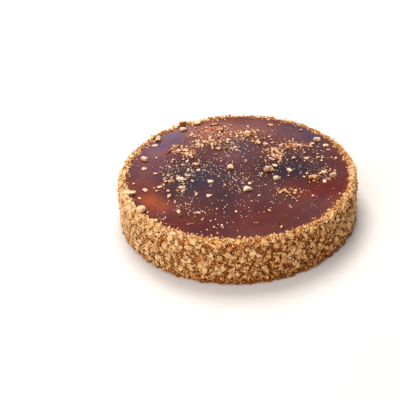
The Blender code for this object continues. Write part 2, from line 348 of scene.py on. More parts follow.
def break_crumb(breadth, thickness, breaks, seed):
    """A crumb's mould, 1 long: a block with its corners broken off, as its points and its triangles."""
    draw = random.Random(seed)
    nothing_selected()
    bpy.ops.mesh.primitive_cube_add(size=1)
    block = bpy.context.object
    block.scale = (1, breadth * draw.uniform(*BREADTHS), thickness * draw.uniform(*THICKNESSES))
    half_sides = block.scale / 2
    settle(block)
    bpy.ops.object.mode_set(mode="EDIT")
    for turn in range(breaks):
        around = 2 * math.pi * (turn + draw.uniform(-0.35, 0.35)) / breaks
        facing = Vector((math.cos(around) * breadth, math.sin(around), draw.uniform(-0.9, 0.9))).normalized()
        out = draw.uniform(*MOULD_BREAKS) * sum(abs(side * way) for side, way in zip(half_sides, facing))
        break_off(facing * out, facing)
    bpy.ops.mesh.select_all(action="SELECT")
    bpy.ops.mesh.remove_doubles(threshold=0.03)
    bpy.ops.mesh.quads_convert_to_tris()
    bpy.ops.object.mode_set(mode="OBJECT")
    points = np.array([point.co for point in block.data.vertices])
    triangles = np.array([face.vertices for face in block.data.polygons])
    bpy.data.objects.remove(block)
    return points, triangles


def sow(name, moulds, crumbs, shaded, seed):
    """Many crumbs as one joined mesh: each is a place, the way its flat side faces, a length and a bake.

    Each gets painted shade, darker towards its lower side, by as much as shaded says.
    """
    draw = np.random.default_rng(seed)
    places, facings, lengths, bakes = (np.array(column, float) for column in zip(*crumbs))
    facings /= np.linalg.norm(facings, axis=1)[:, None]
    along = draw.normal(size=facings.shape)
    along -= (along * facings).sum(1)[:, None] * facings
    along /= np.linalg.norm(along, axis=1)[:, None]
    across = np.cross(facings, along)
    chosen = draw.integers(len(moulds), size=len(places))
    points, triangles, bake_and_shade_of_points, start = [], [], [], 0
    for number, (mould_points, mould_triangles) in enumerate(moulds):
        mine = chosen == number
        turned = (
            mould_points[None, :, 0, None] * along[mine][:, None]
            + mould_points[None, :, 1, None] * across[mine][:, None]
            + mould_points[None, :, 2, None] * facings[mine][:, None]
        )
        placed = turned * lengths[mine][:, None, None] + places[mine][:, None]
        offsets = start + len(mould_points) * np.arange(mine.sum())
        points.append(placed.reshape(-1, 3))
        triangles.append((mould_triangles[None] + offsets[:, None, None]).reshape(-1, 3))
        # Painted shade: each crumb is darker towards its lower side
        sunk = 0.5 - mould_points[:, 2] / np.ptp(mould_points[:, 2])
        bake_and_shade_of_points.append((bakes[mine][:, None] + shaded * sunk[None]).ravel())
        start += len(mould_points) * mine.sum()
    points = np.concatenate(points)
    points[:, 2] = np.maximum(points[:, 2], FLOOR_CLEAR)
    mesh = bpy.data.meshes.new(name)
    mesh.from_pydata(points, [], np.concatenate(triangles))
    bake = mesh.attributes.new("bake", "FLOAT", "POINT")
    bake.data.foreach_set("value", np.concatenate(bake_and_shade_of_points).astype(np.float32))
    piece = bpy.data.objects.new(name, mesh)
    bpy.context.scene.collection.objects.link(piece)
    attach(piece, "root")
    return piece


def coat_place(angle, along, lift):
    """The place this far along the coat's section and this far off it, and the way it faces there."""
    radius, height = (np.interp(along, line_along, side) for side in (line_radius, line_height))
    way = Vector((radius * math.cos(angle), radius * math.sin(angle), height))
    lift += CLUMP_RELIEF * noise.noise(way / CLUMP_SIZE) * min(1.0, along / SHOULDER_END)
    near = np.clip((along - SLOPE_SPAN, along + SLOPE_SPAN), GLAZE_AT, FLOOR_AT)
    outward = -np.diff(np.interp(near, line_along, line_height))[0]
    upward = np.diff(np.interp(near, line_along, line_radius))[0]
    slope = math.hypot(outward, upward)
    outward, upward = outward / slope, upward / slope
    radius += outward * (lift + LEFT_THICKER * max(0.0, -math.cos(angle)))
    facing = Vector((outward * math.cos(angle), outward * math.sin(angle), upward))
    return Vector((radius * math.cos(angle), radius * math.sin(angle), height + upward * lift)), facing


def skewed(draw, lengths):
    """A length between the two, nearer the first."""
    return lengths[0] + (lengths[1] - lengths[0]) * draw.random() ** 1.7


def tilted(facing, tilt, draw):
    """This facing, tilted at random by about this much."""
    return facing + Vector(draw.gauss(0, tilt) for side in range(3))


def clumps_over(first, last, count, lengths, bakes, seed):
    """Clumps spread evenly over part of the coat by the golden angle: angle, place along, size and bake."""
    draw = random.Random(seed)
    found = []
    for index in range(count):
        angle = index * GOLDEN_ANGLE + draw.uniform(-0.03, 0.03)
        along = first + (last - first) * (index + draw.random()) / count
        found.append((angle, along, skewed(draw, lengths), draw.triangular(*bakes)))
    return found


def clump_flakes(clumps, lifts, tilt, seed):
    """The one large flake in the middle of each clump."""
    draw = random.Random(seed)
    found = []
    for angle, along, size, bake in clumps:
        place, facing = coat_place(angle, along, draw.uniform(*lifts))
        found.append((place, tilted(facing, tilt, draw), size, bake))
    return found


# How far from the middle of a clump its crumbs cling, to the size of its flake, how much darker they are
# farther out, and how their bakes differ
CLINGING = (0.2, 0.75)
OUTER_DARKENING = 0.25
CRUMB_BAKES = 0.17


def clump_crumbs(clumps, each, lengths, lifts, seed):
    """The crumbs that cling round the flake of each clump, a little darker the farther out."""
    draw = random.Random(seed)
    found = []
    for angle, along, size, bake in clumps:
        for crumb in range(each):
            way, away = draw.uniform(0, 2 * math.pi), size * draw.uniform(*CLINGING)
            turn = angle + away * math.sin(way) / SKIN_RADIUS
            spot = min(max(along + away * math.cos(way), GLAZE_AT), FLOOR_AT)
            place, facing = coat_place(turn, spot, draw.uniform(*lifts))
            shade = bake + OUTER_DARKENING * away / size + draw.gauss(0, CRUMB_BAKES)
            found.append((place, tilted(facing, 0.5, draw), skewed(draw, lengths), shade))
    return found


def loose_crumbs(first, last, count, lengths, lifts, bakes, seed):
    """Crumbs and grains between the clumps: the deeper they lie, the darker, as painted shade."""
    draw = random.Random(seed)
    found = []
    for index in range(count):
        depth = draw.random()
        along = first + (last - first) * (index + draw.random()) / count
        place, facing = coat_place(index * GOLDEN_ANGLE, along, lifts[1] + (lifts[0] - lifts[1]) * depth)
        bake = bakes[0] + (bakes[1] - bakes[0]) * depth + draw.gauss(0, 0.2)
        found.append((place, tilted(facing, 0.8, draw), skewed(draw, lengths), bake))
    return found


# The moulds: breadth and thickness to a length of 1, and how many corners are broken off
flake_moulds = [break_crumb(0.7, 0.26, 8, seed) for seed in range(10)]
crumb_moulds = [break_crumb(0.72, 0.46, 7, seed) for seed in range(20, 30)]
grain_moulds = [break_crumb(0.8, 0.66, 5, seed) for seed in range(40, 48)]
coat_bake = biscuit(
    "pressed_biscuit", (0.0, CRUMB_CREAM), (0.25, CRUMB_PALE), (0.5, CRUMB_GOLD), (0.7, CRUMB_TAN),
    (0.85, CRUMB_ORANGE), (1.0, CRUMB_TOASTED)
)


def pressed_on(name, moulds, crumbs, seed):
    """Crumbs of the coat as one piece, darkened by painted shadow and shade by where on the coat they lie."""
    toasted = []
    for place, facing, length, bake in crumbs:
        # Painted shadow at the front, painted shade at the foot and in the hollows between the clumps
        in_shadow = max(0.0, SHADOW_WAY @ place / SKIN_RADIUS) ** 2
        low_down = max(0.0, 1 - place.z / FOOT_SHADE_HEIGHT)
        bake += FRONT_SHADOW * in_shadow + FOOT_SHADE * low_down - CLUMP_SHADE * noise.noise(place / CLUMP_SIZE)
        toasted.append((place, facing, length, bake))
    piece = sow(name, moulds, toasted, COAT_SHADED, seed)
    piece.data.materials.append(coat_bake)


upper = clumps_over(SHOULDER_TOP, FOOT_AT, 540, (3.1 * MM, 7.4 * MM), (-0.1, 0.65, 0.1), 101)
lower = clumps_over(FOOT_AT, FLOOR_AT, 260, (2.8 * MM, 5.2 * MM), (0.1, 0.8, 0.4), 102)
pressed_on(
    "side_flakes", flake_moulds + crumb_moulds[:5],
    clump_flakes(upper + lower, (0.3 * MM, 1.1 * MM), 0.25, 103), 103,
)
pressed_on(
    "side_crumbs", crumb_moulds,
    clump_crumbs(upper, 6, (1.4 * MM, 3.5 * MM), (-0.3 * MM, 1.1 * MM), 104)
    + clump_crumbs(lower, 4, (1.4 * MM, 2.8 * MM), (-0.3 * MM, 0.8 * MM), 105), 104,
)
pressed_on(
    "side_grains", grain_moulds,
    loose_crumbs(
        CREST_END, FOOT_AT, 5800, (0.9 * MM, 2.2 * MM), (-0.9 * MM, 1.7 * MM), (-0.05, 0.95), 106
    ), 106,
)
pressed_on(
    "foot_grains", grain_moulds,
    loose_crumbs(
        FOOT_AT, FLOOR_AT, 3200, (0.8 * MM, 2.0 * MM), (-0.9 * MM, 1.2 * MM), (0.2, 1.0), 107
    ), 107,
)

# The rim
# The same crushed biscuit where the coat rounds over to the glaze. It is a thin, ragged line a little above
# the glaze's edge, with gaps and leaning crumbs, and larger flakes lie across it at the left and the back.

# The rim thins out in waves round it: how many, and where they start
RIM_GAPS = ((5, 1.0), (13, 0.5), (29, 2.4))
# Where the rim is barer: angle and half width in degrees, and share left out
RIM_BARE = ((128, 32, 0.9), (86, 24, 0.5), (46, 30, 0.65), (168, 20, 0.35))
# Where the rim's crumbs are smaller or larger: angle and half width in degrees, and change of size
RIM_SIZES = ((82, 34, -0.38), (40, 30, -0.3), (180, 26, 0.15), (2, 30, -0.25))
# The crumbs next to the glaze's edge are darker
GLAZE_EDGE_REACH = 1.4 * MM
GLAZE_EDGE_DARKER = 0.3
STRAY_REACH = 4.5 * MM
# The flakes across the rim: x, y, width, depth and height in millimetres, turn in degrees, lift, corners
# and bake
RIM_FLAKES = (
    (-114.0, -38.5, 17.0, 5.6, 3.2, 3, 1.4, 7, -0.1), (-98.8, -70.5, 10.8, 8.0, 7.6, 35, 0.6, 8, -0.4),
    (-63.5, 105.5, 10.0, 7.0, 7.0, 10, 0.6, 5, 0.7), (-45.8, 107.5, 12.5, 7.0, 3.8, 5, 0.4, 5, 0.0),
    (-109.8, -64.3, 6.4, 5.4, 10.5, 30, -5.5, 7, -0.45),
)


def hills(turn, places):
    """How high it is at this turn in degrees, over hills of these middles, half widths and heights."""
    return sum(height * math.exp(-((turn - middle) / width) ** 2) for middle, width, height in places)


def thinned(crumbs, share, seed):
    """Leaves out up to this share of the crumbs, more where the rim is bare, sizes the rest, and darkens
    those at the glaze.
    """
    draw = random.Random(seed)
    kept = []
    for place, facing, length, bake in crumbs:
        angle = math.atan2(place.y, place.x)
        gap = 0.5 + 0.5 * math.prod(math.sin(count * angle + phase) for count, phase in RIM_GAPS)
        turn = math.degrees(angle) % 360
        if draw.random() > share * gap + hills(turn, RIM_BARE) * (1.3 - 0.6 * gap):
            near_glaze_edge = max(0.0, 1 - (reach(place) - GLAZE_RADIUS) / GLAZE_EDGE_REACH)
            length *= 1 + hills(turn, RIM_SIZES)
            kept.append((place, facing, length, bake + GLAZE_EDGE_DARKER * near_glaze_edge))
    return kept


def strays(count, lengths, seed):
    """Crumbs that fell just inside the rim, on the glaze."""
    draw = random.Random(seed)
    found = []
    for crumb in range(count):
        angle, length = draw.uniform(0, 2 * math.pi), skewed(draw, lengths)
        radius = GLAZE_RADIUS - draw.random() ** 2 * STRAY_REACH
        place = Vector((radius * math.cos(angle), radius * math.sin(angle), GLAZE_TOP + 0.25 * length))
        found.append((place, tilted(Vector((0, 0, 1)), 0.4, draw), length, draw.triangular(0.0, 0.8, 0.3)))
    return found


def leaning_crumbs(first, last, count, lengths, seed):
    """The coarse crumbs that lean over the glaze along the rim, between these angles in degrees."""
    draw = random.Random(seed)
    found = []
    for index in range(count):
        angle = math.radians(first + (last - first) * (index + draw.random()) / count)
        along = draw.uniform(GLAZE_AT, CREST_END)
        place, facing = coat_place(angle, along, draw.uniform(0.0, 1.2) * MM)
        facing = tilted(facing, 0.5, draw)
        found.append((place, facing, draw.uniform(*lengths), draw.triangular(0.0, 0.9, 0.35)))
    return found


rim_clumps = clumps_over(CREST_START, SHOULDER_MIDDLE, 200, (2.8 * MM, 5.4 * MM), (-0.1, 0.6, 0.1), 131)
pressed_on(
    "rim_flakes", flake_moulds,
    thinned(clump_flakes(rim_clumps, (0.1 * MM, 0.9 * MM), 0.6, 132), 0.5, 132), 132,
)
pressed_on(
    "rim_crumbs", crumb_moulds,
    thinned(clump_crumbs(rim_clumps, 5, (1.6 * MM, 3.6 * MM), (-0.3 * MM, 0.6 * MM), 133), 0.6, 133)
    + strays(170, (1.2 * MM, 3.0 * MM), 135)
    + leaning_crumbs(152, 212, 16, (3.8 * MM, 6.2 * MM), 136)
    + leaning_crumbs(100, 152, 15, (3.6 * MM, 6.4 * MM), 137)
    + leaning_crumbs(212, 280, 16, (2.8 * MM, 5.0 * MM), 138), 133,
)
pressed_on(
    "rim_grains", grain_moulds,
    thinned(
        loose_crumbs(
            GLAZE_AT, SHOULDER_MIDDLE, 3200, (0.8 * MM, 1.9 * MM), (-0.8 * MM, 0.4 * MM), (-0.1, 0.6), 134
        ), 0.2, 134,
    ), 134,
)


# How far out to its skin a ball is broken off to four corners, and how much farther out for each corner more
BALL_BREAKS = (0.54, 0.76)
FARTHER_OUT = 0.06


def broken_ball(name, place, size, turn, corners, draw):
    """A ball of this size, broken off flat at its sides, to this many corners, and over its top.

    The more corners, the less is broken off.
    """
    breaks = [out + FARTHER_OUT * (corners - 4) for out in BALL_BREAKS]
    nothing_selected()
    bpy.ops.mesh.primitive_ico_sphere_add(subdivisions=3, radius=0.5, location=place)
    piece = bpy.context.object
    piece.name = name
    piece.rotation_euler.z = math.radians(turn)
    piece.scale = size
    settle(piece)
    unturn = Matrix.Rotation(-math.radians(turn), 3, "Z")
    bpy.ops.object.mode_set(mode="EDIT")
    start = draw.uniform(0, 2 * math.pi)
    for step in range(corners + 2):
        around = start + 2 * math.pi * (step + draw.uniform(-0.25, 0.25)) / corners
        facing = Vector((math.cos(around), math.sin(around), draw.uniform(-0.15, 0.35)))
        if step >= corners:
            facing = Vector((draw.gauss(0, 0.22), draw.gauss(0, 0.22), 1))
        facing.normalize()
        half_across = Vector(side * way / 2 for side, way in zip(size, unturn @ facing)).length
        out = half_across * draw.uniform(*breaks)
        break_off(place + facing * out, facing)
    bpy.ops.object.mode_set(mode="OBJECT")
    return piece


# A lump's parts: size of the first, how far aside and how much lower the others lie, and their size and turn
FIRST_PART = 0.8
PART_ASIDE = 0.3
PART_LOWER = 0.05
PART_SIZES = (0.5, 0.75)
PART_TURN = 50
# The crags on a lump, coarse and fine: size and depth to its thickness
LUMP_CRAGS = ((0.3, 0.05), (0.1, 0.1))
LUMP_GRAIN = 0.3 * MM
# How much darker a lump is: at its base as painted shade, in spots, where it faces down as painted shade, and
# on one face than on another
BASE_SHADE = 0.9
SPOT_BAKE = 0.2
SPOT_SIZE = 2.5 * MM
UNDER_SHADE = 0.45
FACE_BAKE = 0.5


def lump(name, place, size, turn, parts, corners, grain, base, bake, seed):
    """A craggy lump of biscuit in one or more parts, crumbled all over, flat at its base and darker there
    with painted shade.
    """
    draw = random.Random(seed)
    pieces = [broken_ball(name, place, size * (1 if parts == 1 else FIRST_PART), turn, corners, draw)]
    for part in range(1, parts):
        way = 2 * math.pi * part / (parts - 1) + draw.uniform(-0.5, 0.5)
        sideways = (PART_ASIDE * size.x * math.cos(way), PART_ASIDE * size.y * math.sin(way))
        aside = Vector((*sideways, -PART_LOWER * size.z))
        aside.rotate(Matrix.Rotation(math.radians(turn), 3, "Z"))
        part_size = size * draw.uniform(*PART_SIZES)
        pieces.append(broken_ball(name, place + aside, part_size, turn + PART_TURN * part, 4, draw))
    take_up(pieces[0])
    for part in pieces[1:]:
        part.select_set(True)
    if parts > 1:
        bpy.ops.object.join()
    piece = pieces[0]
    fine = piece.modifiers.new("fine mesh", "REMESH")
    fine.mode = "VOXEL"
    fine.voxel_size = grain
    apply_modifiers(piece)
    thickness = min(size)
    crumble(piece, *((crag * thickness, depth * thickness) for crag, depth in LUMP_CRAGS))
    bpy.ops.object.mode_set(mode="EDIT")
    break_off((0, 0, base), (0, 0, -1))
    bpy.ops.object.mode_set(mode="OBJECT")
    top = max(point.co.z for point in piece.data.vertices)
    bakes = []
    for point in piece.data.vertices:
        # Painted shade: darker towards the base and where the surface faces down
        low_down = ((top - point.co.z) / (top - base)) ** 2
        face = noise.noise(1.6 * point.normal + Vector((seed, 0, 0)))
        bakes.append(
            bake + BASE_SHADE * low_down + SPOT_BAKE * noise.noise(point.co / SPOT_SIZE)
            + UNDER_SHADE * (0.8 - point.normal.z) + FACE_BAKE * face
        )
    tint = piece.data.attributes.new("bake", "FLOAT", "POINT")
    tint.data.foreach_set("value", np.array(bakes, np.float32))
    return piece


for number, (x, y, width, depth, height, turn, lift, corners, bake) in enumerate(RIM_FLAKES, start=1):
    place = Vector((x * MM, y * MM, max(line_height) + (0.3 * height + lift) * MM))
    size = Vector((width, depth, height)) * MM
    base = min(GLAZE_TOP - 0.1 * MM, place.z - 0.45 * size.z)
    flake = lump(f"rim_flake_{number}", place, size, turn, 1, corners, LUMP_GRAIN, base, bake, 150 + number)
    flake.data.materials.append(coat_bake)
    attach(flake, "root")

# The mirror glaze
# Mocha glaze with gelatine, poured warm over the cold cake, where it sets to a skin with a mirror's gloss and
# a rounded edge. Cocoa and coffee haven't mixed all through it, so dark clouds show. The lighter violet,
# lilac, rose and clay clouds towards the back are partly painted sheen, and the caramel and ember ones a
# painted glow.

EDGE_ROUND = 0.5 * MM
GLAZE_RINGS = 5
# The waves of the glaze's edge: how many, how deep and where they start
EDGE_WAVES = ((3, 0.5 * MM, 0.4), (7, 0.4 * MM, 2.1), (11, 0.3 * MM, 4.0))
COCOA_DARK = srgb(64, 36, 38)
COCOA = srgb(80, 45, 44)
COCOA_RED = srgb(96, 50, 46)
# Painted light: the lighter violet, lilac, rose and clay clouds are partly painted sheen; caramel and ember a
# painted glow
CLOUD_COLOURS = {
    "caramel_glow": srgb(140, 66, 36),
    "ember_glow": srgb(112, 50, 40),
    "night": srgb(46, 39, 52),
    "dusk": srgb(74, 54, 64),
    "plum": srgb(34, 22, 35),
    "violet_sheen": srgb(106, 84, 100),
    "lilac_sheen": srgb(77, 56, 69),
    "rose_sheen": srgb(146, 92, 80),
    "clay_sheen": srgb(126, 80, 74),
    "mauve": srgb(104, 62, 66),
    "wine": srgb(88, 24, 18),
    "maroon": srgb(82, 30, 26),
}
# The clouds: kind, middle and half widths in millimetres, and strength
CLOUDS = (
    ("mauve", -100, 34, 34, 60, 0.9),
    ("clay_sheen", -66, 56, 36, 22, 0.5),
    ("night", -44, -8, 46, 38, 0.95),
    ("dusk", 8, 50, 30, 30, 0.8),
    ("plum", 58, -2, 66, 36, 0.85),
    ("violet_sheen", -76, 86, 30, 30, 0.9),
    ("violet_sheen", -92, 60, 18, 26, 0.6),
    ("violet_sheen", -56, 98, 22, 16, 0.7),
    ("lilac_sheen", 76, 78, 44, 30, 0.85),
    ("rose_sheen", -28, 92, 46, 32, 0.9),
    ("clay_sheen", 20, 94, 40, 26, 0.7),
    ("mauve", -14, 34, 26, 16, 0.7),
    ("plum", -22, -58, 36, 26, 0.5),
    ("wine", 94, -36, 56, 28, 0.9),
    ("maroon", 112, 6, 22, 40, 0.6),
    ("maroon", -48, -96, 74, 38, 0.9),
    ("maroon", 30, -86, 60, 44, 0.8),
    ("ember_glow", -106, -26, 30, 20, 0.8),
    ("ember_glow", -78, -66, 34, 18, 0.6),
    ("caramel_glow", -92, -50, 20, 19, 0.9),
    ("caramel_glow", -80, -60, 18, 14, 0.7),
)
SWIRL_REACH = 0.03
STREAK_TURN = 0.035
STREAKS_FROM = 30 * MM
STREAKS_FULL = 100 * MM
CLOUDING_SHARE = 0.85
# Cool, plain and warm, to lay over a colour
SHADES = ((0.3, (0.40, 0.42, 0.56)), (0.5, (0.5, 0.5, 0.5)), (0.7, (0.64, 0.56, 0.48)))
GLOSS = (0.05, 0.16)


def vector_math(material, operation, *inputs):
    """A vector math node, with its inputs linked to sockets or set to plain vectors."""
    node = node_in(material, "ShaderNodeVectorMath")
    node.operation = operation
    for socket, value in zip(node.inputs, inputs):
        if isinstance(value, bpy.types.NodeSocket):
            link(material, value, socket)
        else:
            socket.default_value = value
    return node


def shaded_over(material, colour, pattern, share):
    """The colour with cooler and warmer shades laid over it by a pattern, this much."""
    shades = colour_steps(material, pattern.outputs["Fac"], *SHADES)
    laid = node_in(material, "ShaderNodeMixRGB", Fac=share, Color1=colour, Color2=shades)
    laid.blend_type = "OVERLAY"
    return laid.outputs["Color"]


def streaked(material, place, colour):
    """Streaks that run round with the turning of the cake, strongest near its rim, and a finer clouding."""
    sides = node_in(material, "ShaderNodeSeparateXYZ", Vector=place)
    flat = node_in(material, "ShaderNodeCombineXYZ", X=sides.outputs["X"], Y=sides.outputs["Y"])
    radius = vector_math(material, "LENGTH", flat.outputs[0]).outputs["Value"]
    way = vector_math(material, "NORMALIZE", flat.outputs[0]).outputs[0]
    across = node_in(material, "ShaderNodeCombineXYZ", Z=radius).outputs[0]
    drawn_out = vector_math(material, "MULTIPLY_ADD", way, (STREAK_TURN, STREAK_TURN, 0.0), across)
    streaks = node_in(
        material, "ShaderNodeTexNoise", Vector=drawn_out.outputs[0], Scale=70.0, Detail=4.0, Roughness=0.6,
        Distortion=0.5,
    )
    fading = node_in(
        material, "ShaderNodeMapRange", Value=radius, From_Min=STREAKS_FROM, From_Max=STREAKS_FULL,
    )
    colour = shaded_over(material, colour, streaks, fading.outputs["Result"])
    clouding = node_in(material, "ShaderNodeTexNoise", Vector=place, Scale=55.0, Detail=6.0, Roughness=0.7)
    return shaded_over(material, colour, clouding, CLOUDING_SHARE)


def mirror_glaze():
    """Clouded glaze: a slow marbling all over, then the larger clouds, each with a soft, warped edge."""
    material, shader = new_finish("mirror_glaze", 0.08, 0.5)
    place = node_in(material, "ShaderNodeTexCoord").outputs["Object"]
    slow = node_in(
        material, "ShaderNodeTexNoise", Vector=place, Scale=12.0, Detail=4.0, Roughness=0.5, Distortion=0.6
    )
    marbling = slow.outputs["Fac"]
    colour = colour_steps(material, marbling, (0.34, COCOA_DARK), (0.5, COCOA), (0.66, COCOA_RED))
    warp = node_in(material, "ShaderNodeTexNoise", Vector=place, Scale=14.0, Detail=6.0, Roughness=0.62)
    swirl_sides = (SWIRL_REACH, SWIRL_REACH, 0.0)
    swirl = vector_math(material, "MULTIPLY_ADD", warp.outputs["Color"], swirl_sides, place)
    for cloud, x, y, width, depth, strength in CLOUDS:
        shifted = node_in(material, "ShaderNodeMapping", Vector=swirl.outputs[0])
        shifted.vector_type = "TEXTURE"
        middle = (x * MM + SWIRL_REACH / 2, y * MM + SWIRL_REACH / 2, GLAZE_TOP)
        shifted.inputs["Location"].default_value = middle
        shifted.inputs["Scale"].default_value = (width * MM, depth * MM, 1.0)
        away = vector_math(material, "LENGTH", shifted.outputs[0])
        near = node_in(
            material, "ShaderNodeMapRange", Value=away.outputs["Value"], From_Min=0.1, From_Max=1.2,
            To_Min=strength, To_Max=0.0,
        )
        near.interpolation_type = "SMOOTHSTEP"
        blend = node_in(material, "ShaderNodeMixRGB", Fac=near.outputs["Result"], Color1=colour)
        blend.inputs["Color2"].default_value = (*CLOUD_COLOURS[cloud], 1.0)
        colour = blend.outputs["Color"]
    colour = streaked(material, place, colour)
    link(material, colour, shader.inputs["Base Color"])
    haze = node_in(material, "ShaderNodeTexNoise", Vector=place, Scale=60.0, Detail=3.0)
    gloss = node_in(
        material, "ShaderNodeMapRange", Value=haze.outputs["Fac"], To_Min=GLOSS[0], To_Max=GLOSS[1]
    )
    link(material, gloss.outputs["Result"], shader.inputs["Roughness"])
    ripple = node_in(material, "ShaderNodeTexNoise", Vector=place, Scale=30.0, Detail=1.0)
    roughen(material, shader, ripple.outputs["Fac"], 0.2, 0.5 * MM)
    return material


nothing_selected()
bpy.ops.mesh.primitive_cylinder_add(
    vertices=ROUND_POINTS, radius=GLAZE_RADIUS, depth=GLAZE_THICKNESS,
    location=(0, 0, GLAZE_TOP - GLAZE_THICKNESS / 2), end_fill_type="NGON",
)
glaze = bpy.context.object
glaze.name = "poured_glaze"
settle(glaze)
bpy.ops.object.mode_set(mode="EDIT")
select_by_place(
    glaze, lambda middle, along: middle.z > GLAZE_TOP - 0.1 * MM and abs(along.z) < 0.1
    and reach(middle) > GLAZE_RADIUS - 0.5 * MM, "EDGE",
)
bpy.ops.mesh.bevel(offset=EDGE_ROUND, segments=5, affect="EDGES")
select_by_place(glaze, lambda middle, normal: normal.z > 0.99 and reach(middle) < 1 * MM)
bpy.ops.mesh.inset(thickness=0.3 * MM)
for ring in range(GLAZE_RINGS):
    bpy.ops.mesh.inset(thickness=GLAZE_RADIUS / (GLAZE_RINGS + 1))
bpy.ops.object.mode_set(mode="OBJECT")
for point in glaze.data.vertices:
    if reach(point.co) > GLAZE_RADIUS / 2:
        angle = math.atan2(point.co.y, point.co.x)
        waves = sum(depth * math.sin(count * angle + phase) for count, depth, phase in EDGE_WAVES)
        swell = 1 + waves / GLAZE_RADIUS
        point.co.x *= swell
        point.co.y *= swell
take_up(glaze)
bpy.ops.object.shade_smooth_by_angle(angle=math.radians(40))
glaze.data.materials.append(mirror_glaze())
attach(glaze, "root")
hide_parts("mocha_glaze")

# Biscuit chunks
# The largest pieces of the crushed biscuit, 8 to 13 mm long, strewn over the glaze by hand before it set.
# Each is a craggy lump with broken faces, pale where it broke and darker at its baked crust, with painted
# shade low down.

STREWN_CREAM = srgb(223, 197, 178)
STREWN_PALE = srgb(217, 184, 161)
STREWN_GOLD = srgb(214, 169, 128)
STREWN_TAN = srgb(198, 144, 98)
STREWN_ORANGE = srgb(178, 109, 64)
STREWN_TOASTED = srgb(106, 50, 24)
strewn_bake = biscuit(
    "strewn_biscuit", (0.0, STREWN_CREAM), (0.25, STREWN_PALE), (0.5, STREWN_GOLD), (0.7, STREWN_TAN),
    (0.85, STREWN_ORANGE), (1.0, STREWN_TOASTED)
)
CHUNK_SUNK = 0.2 * MM
# The chunks in the order of their nodes: width, depth and height in millimetres, turn in degrees, parts,
# corners and bake
CHUNKS = (
    (13.0, 8.5, 6.5, 15, 3, 4, 0.0), (12.0, 8.0, 4.2, 25, 1, 3, -0.15), (12.5, 8.5, 5.5, -10, 3, 5, 0.45),
    (10.5, 7.0, 6.0, 5, 2, 4, 0.0), (9.8, 7.8, 5.5, -20, 2, 4, 0.0), (8.6, 5.2, 3.6, -8, 1, 5, -0.15),
    (8.8, 5.8, 4.8, 12, 2, 4, 0.35), (8.4, 6.8, 5.2, 40, 1, 4, 0.35), (10.4, 6.0, 4.4, -5, 1, 4, 0.1),
    (8.6, 7.4, 6.2, 30, 1, 5, 0.35), (8.4, 6.2, 5.0, -25, 1, 3, -0.05), (8.6, 5.8, 4.8, 10, 2, 4, 0.1),
    (8.6, 8.0, 5.4, 0, 3, 4, 0.5), (12.0, 5.4, 4.0, 5, 2, 5, 0.5),
)


def rough_size(width, depth, height):
    """The size to break a lump from: larger than the solid's, because the breaks take some of it away."""
    return Vector((1.4 * width, 1.4 * depth, 1.8 * height))


def fit_to_box(piece, low, high):
    """Stretches the piece so that it spans the solid's width, depth and top, and keeps its base."""
    points = piece.data.vertices
    spans = []
    for side in range(3):
        places = [point.co[side] for point in points]
        spans.append((min(places), max(places)))
    for point in points:
        for side in range(2):
            least, most = spans[side]
            share = (point.co[side] - least) / (most - least)
            point.co[side] = low[side] + share * (high[side] - low[side])
        base, top = spans[2]
        point.co.z = base + (point.co.z - base) / (top - base) * (high.z - base)


chunk_nodes = sorted(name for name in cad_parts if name.startswith("biscuit_chunk"))
for seed, (node, form) in enumerate(zip(chunk_nodes, CHUNKS), start=201):
    width, depth, height, turn, parts, corners, bake = form
    low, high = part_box(node)
    place = Vector(((low.x + high.x) / 2, (low.y + high.y) / 2, GLAZE_TOP + 0.25 * height * MM))
    size = rough_size(width, depth, height) * MM
    name = node.replace("biscuit_chunk", "broken_chunk")
    chunk = lump(name, place, size, turn, parts, corners, LUMP_GRAIN, GLAZE_TOP - CHUNK_SUNK, bake, seed)
    fit_to_box(chunk, low, high)
    chunk.data.materials.append(strewn_bake)
    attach(chunk, "root")
    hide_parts(node)

# Middle-sized fallen crumbs
# Crumbs of the same biscuit, 6 to 9 mm long, with broken faces. They lie where the glaze's solid has its
# longer crumbs, and are a little larger than those.

MIDDLE_LENGTH = 4.6 * MM
MIDDLE_GROWTH = 1.3
MIDDLE_GRAIN = 0.28 * MM
MIDDLE_SUNK = 0.1 * MM
# The solid's shorter crumbs are kept for the fallen crumbs, and are made this much larger
SMALL_GROWTH = 1.1


def crumbs_of_solid(node, level):
    """The middle and size of each crumb that stands above this level on a solid."""
    solid = bmesh.new()
    solid.from_mesh(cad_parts[node].data)
    bmesh.ops.remove_doubles(solid, verts=solid.verts, dist=0.01 * MM)
    left = {point for point in solid.verts if point.co.z > level}
    found = []
    while left:
        waiting, crumb = [left.pop()], []
        while waiting:
            point = waiting.pop()
            crumb.append(point.co.copy())
            near = {edge.other_vert(point) for edge in point.link_edges} & left
            left -= near
            waiting.extend(near)
        lowest, highest = (Vector(pick(side) for side in zip(*crumb)) for pick in (min, max))
        found.append(((lowest + highest) / 2, highest - lowest))
    solid.free()
    return sorted(found, key=lambda crumb: tuple(crumb[0]))


